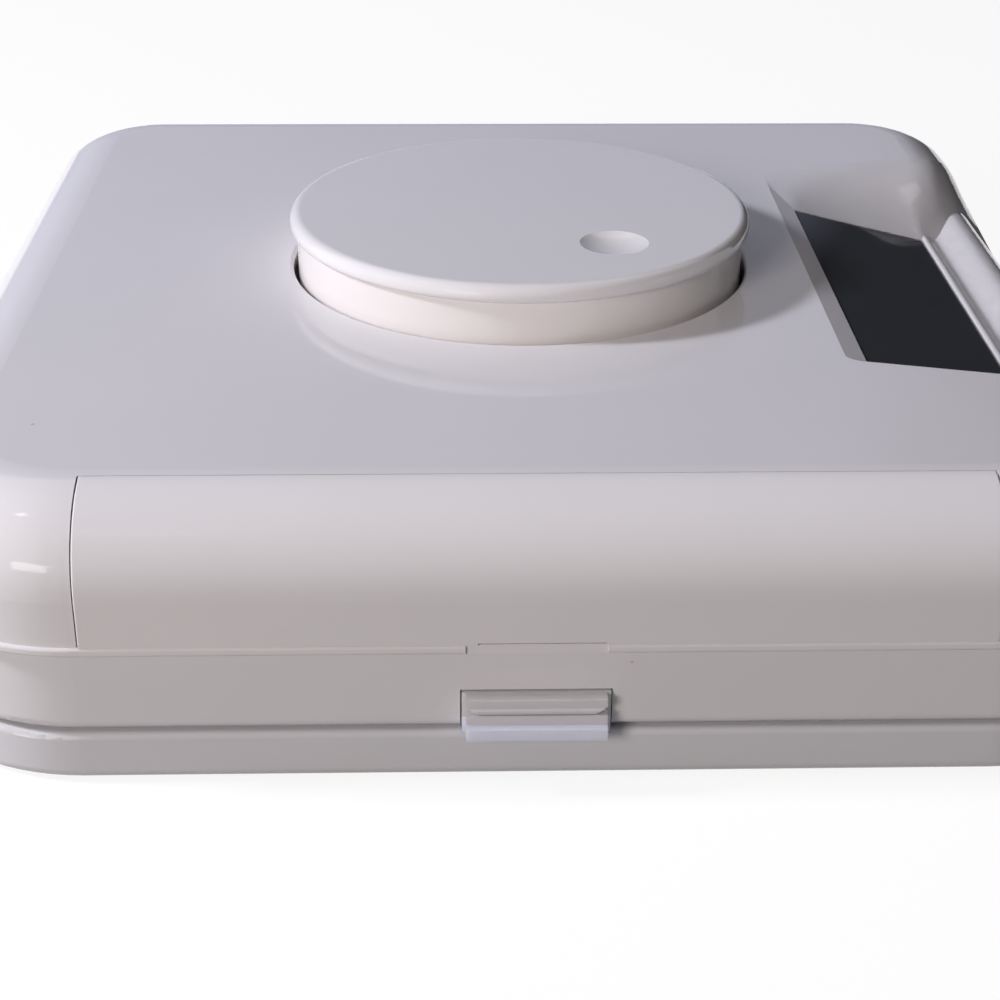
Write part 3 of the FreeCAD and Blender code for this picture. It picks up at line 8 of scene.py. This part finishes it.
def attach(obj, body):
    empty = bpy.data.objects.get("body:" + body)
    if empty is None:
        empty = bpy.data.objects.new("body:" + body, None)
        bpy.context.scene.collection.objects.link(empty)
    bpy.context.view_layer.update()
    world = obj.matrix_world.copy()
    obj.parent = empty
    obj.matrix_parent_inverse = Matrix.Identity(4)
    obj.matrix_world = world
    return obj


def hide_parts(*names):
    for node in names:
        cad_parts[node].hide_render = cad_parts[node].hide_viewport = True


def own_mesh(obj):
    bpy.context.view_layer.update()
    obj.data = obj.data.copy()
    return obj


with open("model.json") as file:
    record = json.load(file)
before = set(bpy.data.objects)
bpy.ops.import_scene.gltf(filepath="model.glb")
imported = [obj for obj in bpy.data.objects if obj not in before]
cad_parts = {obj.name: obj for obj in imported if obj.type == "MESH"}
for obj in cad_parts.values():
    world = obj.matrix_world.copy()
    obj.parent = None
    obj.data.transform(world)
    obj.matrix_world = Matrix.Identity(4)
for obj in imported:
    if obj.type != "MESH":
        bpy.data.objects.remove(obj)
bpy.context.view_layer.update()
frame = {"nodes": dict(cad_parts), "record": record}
MM = 0.001

# ---------------------------------------------------------------- camera
CAMERA_PLACE = (-11.6 * MM, -306.7 * MM, 155.5 * MM)
CAMERA_PITCH = math.radians(27.38)      # below the horizon
CAMERA_YAW = math.radians(1.61)         # towards +X
CAMERA_ROLL = math.radians(0.37)
CAMERA_LENS = 70.96                     # in millimetres, on the sensor's width
SENSOR_WIDTH = 36
CLIP_RANGE = (0.01, 20)                 # in metres


def add_camera():
    """The main viewpoint: in front of the container, looking down, with a slight roll."""
    forward = Vector((math.sin(CAMERA_YAW) * math.cos(CAMERA_PITCH),
                      math.cos(CAMERA_YAW) * math.cos(CAMERA_PITCH),
                      -math.sin(CAMERA_PITCH)))
    level = Vector((math.cos(CAMERA_YAW), -math.sin(CAMERA_YAW), 0))
    upward = level.cross(forward)
    right = level * math.cos(CAMERA_ROLL) + upward * math.sin(CAMERA_ROLL)
    up = upward * math.cos(CAMERA_ROLL) - level * math.sin(CAMERA_ROLL)
    data = bpy.data.cameras.new("camera")
    data.lens = CAMERA_LENS
    data.sensor_width = SENSOR_WIDTH
    data.clip_start, data.clip_end = CLIP_RANGE
    camera = bpy.data.objects.new("camera", data)
    turn = Matrix((right, up, -forward)).transposed().to_4x4()
    camera.matrix_world = Matrix.Translation(Vector(CAMERA_PLACE)) @ turn
    bpy.context.scene.collection.objects.link(camera)
    bpy.context.scene.camera = camera


# ---------------------------------------------------------------- shader nodes
NOISE_MIDDLE = (0.3, 0.7)       # the stretch in which most of a noise's values lie


def noise(tree, scale, detail=3.0, roughness=0.55):
    """Noise in the object's own coordinates, so that it stays put when pieces move."""
    place = tree.nodes.new("ShaderNodeTexCoord")
    texture = tree.nodes.new("ShaderNodeTexNoise")
    texture.inputs["Scale"].default_value = scale
    texture.inputs["Detail"].default_value = detail
    texture.inputs["Roughness"].default_value = roughness
    tree.links.new(place.outputs["Object"], texture.inputs["Vector"])
    return texture.outputs["Fac"]


def axes_of(tree, coordinates):
    """The X, Y and Z outputs of the named texture coordinates."""
    place = tree.nodes.new("ShaderNodeTexCoord")
    axes = tree.nodes.new("ShaderNodeSeparateXYZ")
    tree.links.new(place.outputs[coordinates], axes.inputs[0])
    return axes.outputs


def span(tree, value, low, high, start=NOISE_MIDDLE[0], end=NOISE_MIDDLE[1]):
    """The value mapped from start..end onto low..high."""
    mapping = tree.nodes.new("ShaderNodeMapRange")
    for socket, number in (("From Min", start), ("From Max", end),
                           ("To Min", low), ("To Max", high)):
        mapping.inputs[socket].default_value = number
    tree.links.new(value, mapping.inputs["Value"])
    return mapping.outputs["Result"]


def combine(tree, operation, first, second):
    """The result of one sum on two outputs."""
    node = tree.nodes.new("ShaderNodeMath")
    node.operation = operation
    tree.links.new(first, node.inputs[0])
    tree.links.new(second, node.inputs[1])
    return node.outputs[0]


def two_tone(tree, value, first, second):
    """From first to second as the value goes from 0 to 1. Each is a colour or an output."""
    mix = tree.nodes.new("ShaderNodeMix")
    mix.data_type = "RGBA"
    for socket, tone in (("A", first), ("B", second)):
        if isinstance(tone, bpy.types.NodeSocket):
            tree.links.new(tone, mix.inputs[socket])
        else:
            mix.inputs[socket].default_value = (*tone, 1)
    tree.links.new(value, mix.inputs["Factor"])
    return mix.outputs["Result"]


def bump(tree, shader, layers):
    """Bumps, each a (height, distance in metres, strength), one on top of the other."""
    below = None
    for height, distance, strength in layers:
        node = tree.nodes.new("ShaderNodeBump")
        node.inputs["Distance"].default_value = distance
        node.inputs["Strength"].default_value = strength
        tree.links.new(height, node.inputs["Height"])
        if below:
            tree.links.new(below, node.inputs["Normal"])
        below = node.outputs["Normal"]
    tree.links.new(below, shader.inputs["Normal"])


def find_node(tree, kind):
    return next(node for node in tree.nodes if node.type == kind)


# ---------------------------------------------------------------- materials
# A noise is its scale, in waves per metre, and its detail.
MOULDED_TONE = (60, 4)
MOULDED_GLOSS = (240, 5)
MOULDED_WAVE = (22, 1)
MOULDED_GRAIN = (1500, 2)
WAVE_DEPTH = 0.6 * MM
GRAIN_DEPTH = 0.03 * MM
PLASTIC_IOR = 1.5

SPECK_CELLS = 95                # cells per metre, each with room for one dust speck
SPECK_EDGE = (0.022, 0.03)      # where a speck starts to fade and where it ends
SPECK_CHOICE = (31, 1)          # the noise that picks the cells with a speck
SPECK_SHARE = (0.60, 0.62)      # the values of that noise where specks set in
SPECK_COLOUR = (0.58, 0.55, 0.53)

METAL_TONE = (400, 4)
METAL_GLOSS = (900, 3)
METAL_GRAIN = (1800, 2)
METAL_SHADE = 0.85
METAL_DEPTH = 0.02 * MM
METAL_BUMP = 0.3

CATCH_GLOSS = (300, 3)
CATCH_ROUGH = (0.12, 0.20)
CATCH_WAVE = (150, 2)
CATCH_DEPTH = 0.1 * MM
CATCH_BUMP = 0.1
CATCH_SCATTER = 0.5
SCATTER_DISTANCE = 1.5 * MM
POLYCARBONATE_IOR = 1.58
BAR_TOP = 10.3 * MM             # height of the painted bright bar along the catch's lower edge
BAR_EDGE = 0.1 * MM             # half the height over which its colour changes

MATTE_GRAIN = 300
MATTE_DEPTH = 0.05 * MM
MATTE_BUMP = 0.4

WHITE = (0.80, 0.775, 0.78)
# The skirt's and the tray's whites are the shell's white darkened: painted shade on the lower
# bands.
SKIRT_SHADED_WHITE = (0.755, 0.735, 0.745)
TRAY_SHADED_WHITE = (0.70, 0.69, 0.71)
CAP_WHITE = (0.82, 0.795, 0.795)
# The knob's grip wall: the cap's white painted lighter and warmer, as painted light on the
# wall.
WALL_PAINTED_LIGHT = (0.85, 0.81, 0.785)
CATCH_COLOUR = (0.66, 0.64, 0.65)
# The catch's lower bar, brighter and bluer than the catch: a painted highlight for light seen
# through the clear plastic.
BAR_PAINTED_LIGHT = (0.79, 0.83, 1.0)
WINDOW_DARK = (0.062, 0.065, 0.071)
PANEL_GREY = (0.10, 0.11, 0.10)
INNER_GREY = (0.55, 0.55, 0.56)
ACETAL_NATURAL = (0.86, 0.85, 0.80)
ACETAL_BLACK = (0.05, 0.05, 0.055)
ZINC = (0.62, 0.62, 0.63)
CAN_STEEL = (0.55, 0.55, 0.57)
NICKEL = (0.72, 0.70, 0.66)
BOARD_GREEN = (0.02, 0.16, 0.07)
EPOXY_BLACK = (0.03, 0.03, 0.033)
CELL_BLUE = (0.05, 0.12, 0.28)
RUBBER_BLACK = (0.02, 0.02, 0.02)

# How rough a finish is, from its glossiest spots to its dullest.
POLISHED = (0.03, 0.08)
GLOSSY = (0.04, 0.08)
SATIN = (0.10, 0.16)
FINE_GRAIN = 0.12               # strength of the grain on the smoothest mouldings


def shaded(colour, shade):
    return [channel * shade for channel in colour]


def new_tree(name):
    """A new material with one principled shader."""
    material = bpy.data.materials.new(name)
    material.use_nodes = True
    nodes = material.node_tree.nodes
    nodes.clear()
    output = nodes.new("ShaderNodeOutputMaterial")
    shader = nodes.new("ShaderNodeBsdfPrincipled")
    material.node_tree.links.new(shader.outputs[0], output.inputs["Surface"])
    return material, material.node_tree, shader


def dusted(tree, tint):
    """The tint with a few small dust specks in it."""
    spots = tree.nodes.new("ShaderNodeTexVoronoi")
    spots.inputs["Scale"].default_value = SPECK_CELLS
    place = tree.nodes.new("ShaderNodeTexCoord")
    tree.links.new(place.outputs["Object"], spots.inputs["Vector"])
    near = span(tree, spots.outputs["Distance"], 1, 0, *SPECK_EDGE)
    chosen = span(tree, noise(tree, *SPECK_CHOICE), 0, 1, *SPECK_SHARE)
    return two_tone(tree, combine(tree, "MULTIPLY", near, chosen), tint, SPECK_COLOUR)


def moulded(name, colour, shade=0.985, rough=SATIN, grain=0.25, wave=0.15, specks=True):
    """Injection-moulded plastic: a faint grain, slow waviness and a few dust specks."""
    material, tree, shader = new_tree(name)
    tone = span(tree, noise(tree, *MOULDED_TONE), 0, 1)
    tint = two_tone(tree, tone, colour, shaded(colour, shade))
    if specks:
        tint = dusted(tree, tint)
    tree.links.new(tint, shader.inputs["Base Color"])
    gloss = span(tree, noise(tree, *MOULDED_GLOSS), *rough)
    tree.links.new(gloss, shader.inputs["Roughness"])
    bump(tree, shader, [(noise(tree, *MOULDED_WAVE), WAVE_DEPTH, wave),
                        (noise(tree, *MOULDED_GRAIN), GRAIN_DEPTH, grain)])
    shader.inputs["IOR"].default_value = PLASTIC_IOR
    return material


def metal(name, colour, rough=(0.25, 0.4)):
    """Plated or rolled steel with a fine grain."""
    material, tree, shader = new_tree(name)
    tone = span(tree, noise(tree, *METAL_TONE), 0, 1)
    tint = two_tone(tree, tone, colour, shaded(colour, METAL_SHADE))
    tree.links.new(tint, shader.inputs["Base Color"])
    gloss = span(tree, noise(tree, *METAL_GLOSS), *rough)
    tree.links.new(gloss, shader.inputs["Roughness"])
    bump(tree, shader, [(noise(tree, *METAL_GRAIN), METAL_DEPTH, METAL_BUMP)])
    shader.inputs["Metallic"].default_value = 1.0
    return material


def milky_plastic(name):
    """Milky translucent plastic, with a bluish painted highlight along the catch's lower bar.
    """
    material, tree, shader = new_tree(name)
    height = axes_of(tree, "Object")["Z"]
    above_bar = span(tree, height, 0, 1, BAR_TOP - BAR_EDGE, BAR_TOP + BAR_EDGE)
    tint = two_tone(tree, above_bar, BAR_PAINTED_LIGHT, CATCH_COLOUR)
    tree.links.new(tint, shader.inputs["Base Color"])
    gloss = span(tree, noise(tree, *CATCH_GLOSS), *CATCH_ROUGH)
    tree.links.new(gloss, shader.inputs["Roughness"])
    bump(tree, shader, [(noise(tree, *CATCH_WAVE), CATCH_DEPTH, CATCH_BUMP)])
    shader.inputs["Subsurface Weight"].default_value = CATCH_SCATTER
    shader.inputs["Subsurface Radius"].default_value = (1.0, 1.0, 1.0)
    shader.inputs["Subsurface Scale"].default_value = SCATTER_DISTANCE
    shader.inputs["IOR"].default_value = POLYCARBONATE_IOR
    return material


def matte(name, colour, shade=0.8, rough=(0.5, 0.7)):
    """A dull plastic, rubber or coated surface with a mottled grain."""
    material, tree, shader = new_tree(name)
    tone = span(tree, noise(tree, MATTE_GRAIN, 4), 0, 1)
    tint = two_tone(tree, tone, colour, shaded(colour, shade))
    tree.links.new(tint, shader.inputs["Base Color"])
    gloss = span(tree, noise(tree, MATTE_GRAIN * 2, 3), *rough)
    tree.links.new(gloss, shader.inputs["Roughness"])
    bump(tree, shader, [(noise(tree, MATTE_GRAIN * 4, 2), MATTE_DEPTH, MATTE_BUMP)])
    return material


MATERIALS = {
    "white_shell": moulded("white_shell", WHITE, rough=GLOSSY, grain=FINE_GRAIN),
    "white_fascia": moulded("white_fascia", WHITE),
    # Skirt and tray take the darker whites: painted shade.
    "white_skirt": moulded("white_skirt", SKIRT_SHADED_WHITE),
    "white_tray": moulded("white_tray", TRAY_SHADED_WHITE),
    "white_knob": moulded("white_knob", CAP_WHITE, rough=GLOSSY, grain=FINE_GRAIN),
    # The grip wall's colour is lighter and warmer than the cap's: painted light.
    "knob_wall": moulded("knob_wall", WALL_PAINTED_LIGHT, rough=GLOSSY, grain=FINE_GRAIN),
    "clear_catch": milky_plastic("clear_catch"),
    "dark_window": moulded("dark_window", WINDOW_DARK, shade=0.9, rough=POLISHED,
                           grain=0.05, wave=0.05, specks=False),
    "panel": matte("panel", PANEL_GREY),
    "grey_inner": matte("grey_inner", INNER_GREY, shade=0.93, rough=(0.35, 0.5)),
    "acetal": matte("acetal", ACETAL_NATURAL, shade=0.95, rough=(0.3, 0.4)),
    "acetal_dark": matte("acetal_dark", ACETAL_BLACK, rough=(0.3, 0.45)),
    "steel": metal("steel", ZINC),
    "motor_can": metal("motor_can", CAN_STEEL),
    "board": matte("board", BOARD_GREEN, shade=0.7, rough=(0.25, 0.4)),
    "chips": matte("chips", EPOXY_BLACK),
    "cells": matte("cells", CELL_BLUE, rough=(0.2, 0.35)),
    "nickel": metal("nickel", NICKEL),
    "rubber": matte("rubber", RUBBER_BLACK, shade=0.7, rough=(0.6, 0.8)),
}


def dress_nodes():
    """Give every carried-over node the material of its slot."""
    slots = {item["node"]: item["material_slot"] for item in frame["record"]["subparts"]}
    for node, thing in frame["nodes"].items():
        thing.data.materials.clear()
        thing.data.materials.append(MATERIALS[slots[node]])


def add_return_spring():
    """The return spring as its own copy of the coil, carried with the lid."""
    node = frame["nodes"]["return_spring"]
    coil = bpy.data.objects.new("return_spring_coil", node.data.copy())
    bpy.context.scene.collection.objects.link(coil)
    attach(coil, "lid")
    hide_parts("return_spring")
    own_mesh(coil)


# ---------------------------------------------------------------- stage
# Places and sizes here are in metres.
FLOOR_SIZE = 8
FLOOR_COLOUR = (0.20, 0.19, 0.185)
FLOOR_GLOW = 0.86
BACKDROP_WHITE = (1, 1, 1)
DOME_COLOUR = (0.95, 0.93, 1.0)
DOME = (                        # how far up, as a sine, and how strong the dome is there
    (0.0, 0.02),
    (0.25, 0.03),
    (0.40, 0.14),
    (0.70, 0.17),
    (0.85, 0.25),
    (1.0, 0.25),
)
DOME_FADE = (1.3, 0.3)          # the share of it left at the far left and the far right

MIDDLE = (0, 0, 0.03)
LAMPS = (                       # name, place, side of its square, watts, colour
    ("left_lamp", (-0.83, -0.04, 0.59), 0.12, 7.4, (0.85, 0.87, 1.0)),
    ("front_lamp", (-0.50, -0.80, 0.37), 0.30, 4.4, (1.0, 0.93, 0.90)),
)

FRONT_EDGE = (-0.07, -0.085, 0.03)
HIGHLIGHTS = (                  # name, place, size, strength
    ("corner_light", (-0.437, -0.776, 0.196), (0.28, 0.12), 5.0),
    ("sparkle_light", (-0.423, -0.214, 0.736), (0.05, 0.06), 6.0),
    ("front_strip", (-0.170, -0.534, 0.686), (0.10, 0.03), 2.5),
)

SCREEN_PLACE = (0, 0.55, 0.30)
SCREEN_TARGET = (0, 0, 0.30)
SCREEN_SIZE = (1.8, 0.9)
SCREEN_COLOUR = (0.71, 0.76, 1.0)
SCREEN_LOW = 0.50               # its strength below the rise, and then above it
SCREEN_HIGH = 0.17
SCREEN_RISE = (-0.10, 0.15)     # where it changes, as shares of its height from its middle
SCREEN_END = (0.10, 0.14)       # where it ends, as shares of its width from its middle
SCREEN_REST = 0.04              # the share of its glow beyond that end


def new_glow(name, strength, colour=(1, 1, 1)):
    """A material that only glows."""
    material = bpy.data.materials.new(name)
    material.use_nodes = True
    tree = material.node_tree
    tree.nodes.clear()
    output = tree.nodes.new("ShaderNodeOutputMaterial")
    glow = tree.nodes.new("ShaderNodeEmission")
    glow.inputs["Color"].default_value = (*colour, 1)
    glow.inputs["Strength"].default_value = strength
    tree.links.new(glow.outputs[0], output.inputs["Surface"])
    return material


def direct_ray(tree):
    """1 for rays from the camera, through clear plastic or off a gloss, else 0."""
    path = tree.nodes.new("ShaderNodeLightPath")
    value = path.outputs["Is Camera Ray"]
    for name in ("Is Glossy Ray", "Is Transmission Ray"):
        value = combine(tree, "MAXIMUM", value, path.outputs[name])
    return value


def add_floor():
    """A floor that looks white but sends only a little light back up."""
    bpy.ops.mesh.primitive_plane_add(size=FLOOR_SIZE, location=(0, 0, 0))
    floor = bpy.context.object
    floor.name = "floor"
    material = new_glow("floor", FLOOR_GLOW)
    tree = material.node_tree
    glow = find_node(tree, "EMISSION")
    output = find_node(tree, "OUTPUT_MATERIAL")
    pale = tree.nodes.new("ShaderNodeBsdfDiffuse")
    pale.inputs["Color"].default_value = (*FLOOR_COLOUR, 1)
    tree.links.new(span(tree, direct_ray(tree), 0, FLOOR_GLOW, 0, 1), glow.inputs["Strength"])
    both = tree.nodes.new("ShaderNodeAddShader")
    tree.links.new(pale.outputs[0], both.inputs[0])
    tree.links.new(glow.outputs[0], both.inputs[1])
    tree.links.new(both.outputs[0], output.inputs["Surface"])
    floor.data.materials.append(material)


def dome_strength(tree):
    """The dome's strength, by height and then by how far to the right."""
    axes = axes_of(tree, "Generated")
    height = tree.nodes.new("ShaderNodeValToRGB")
    stops = height.color_ramp.elements
    stops[0].position, stops[1].position = DOME[0][0], DOME[-1][0]
    for place_up, _ in DOME[1:-1]:
        stops.new(place_up)
    for stop, (_, strength) in zip(stops, DOME):
        stop.color = (strength, strength, strength, 1)
    tree.links.new(axes["Z"], height.inputs[0])
    fade = span(tree, axes["X"], *DOME_FADE, -1.0, 1.0)
    return combine(tree, "MULTIPLY", height.outputs[0], fade)


def add_world():
    """A dim bluish dome, fading to the right, behind a white backdrop."""
    world = bpy.data.worlds.new("studio")
    bpy.context.scene.world = world
    world.use_nodes = True
    tree = world.node_tree
    tree.nodes.clear()
    output = tree.nodes.new("ShaderNodeOutputWorld")
    dome = tree.nodes.new("ShaderNodeBackground")
    dome.inputs["Color"].default_value = (*DOME_COLOUR, 1)
    tree.links.new(dome_strength(tree), dome.inputs["Strength"])
    white = tree.nodes.new("ShaderNodeBackground")
    white.inputs["Color"].default_value = (*BACKDROP_WHITE, 1)
    white.inputs["Strength"].default_value = 1.0
    mix = tree.nodes.new("ShaderNodeMixShader")
    tree.links.new(direct_ray(tree), mix.inputs[0])
    tree.links.new(dome.outputs[0], mix.inputs[1])
    tree.links.new(white.outputs[0], mix.inputs[2])
    tree.links.new(mix.outputs[0], output.inputs["Surface"])


def add_lamp(name, place, side, power, colour):
    """A square lamp aimed at the container's middle, not seen in reflections."""
    data = bpy.data.lights.new(name, "AREA")
    data.shape = "RECTANGLE"
    data.size = data.size_y = side
    data.energy = power
    data.color = colour
    lamp = bpy.data.objects.new(name, data)
    lamp.location = place
    lamp.rotation_mode = "QUATERNION"
    lamp.rotation_quaternion = (Vector(MIDDLE) - Vector(place)).to_track_quat("-Z", "Y")
    bpy.context.scene.collection.objects.link(lamp)
    lamp.visible_glossy = False


def add_card(name, place, target, size, strength, colour=(1, 1, 1)):
    """A flat card that only shows as a reflection in glossy surfaces."""
    bpy.ops.mesh.primitive_plane_add(size=1, location=place)
    card = bpy.context.object
    card.name = name
    card.scale = (*size, 1)
    card.rotation_mode = "QUATERNION"
    card.rotation_quaternion = (Vector(target) - Vector(place)).to_track_quat("Z", "Y")
    card.data.materials.append(new_glow(name, strength, colour))
    for kind in ("camera", "diffuse", "transmission", "shadow", "volume_scatter"):
        setattr(card, "visible_" + kind, False)
    return card


def add_rear_screen():
    """A screen behind the container, darker upwards, that ends right of the middle."""
    screen = add_card("rear_screen", SCREEN_PLACE, SCREEN_TARGET, SCREEN_SIZE, SCREEN_LOW,
                      SCREEN_COLOUR)
    tree = screen.data.materials[0].node_tree
    axes = axes_of(tree, "Object")
    upwards = span(tree, axes["Y"], SCREEN_LOW, SCREEN_HIGH, *SCREEN_RISE)
    rightwards = span(tree, axes["X"], 1.0, SCREEN_REST, *SCREEN_END)
    strength = combine(tree, "MULTIPLY", upwards, rightwards)
    tree.links.new(strength, find_node(tree, "EMISSION").inputs["Strength"])


def add_lights():
    """A key lamp from the left, a warmer one in front, the screen and small highlights."""
    for lamp in LAMPS:
        add_lamp(*lamp)
    add_rear_screen()
    for name, place, size, strength in HIGHLIGHTS:
        add_card(name, place, FRONT_EDGE, size, strength)


def set_view():
    bpy.context.scene.view_settings.view_transform = "Standard"


add_camera()
dress_nodes()
add_return_spring()
add_floor()
add_world()
add_lights()
set_view()
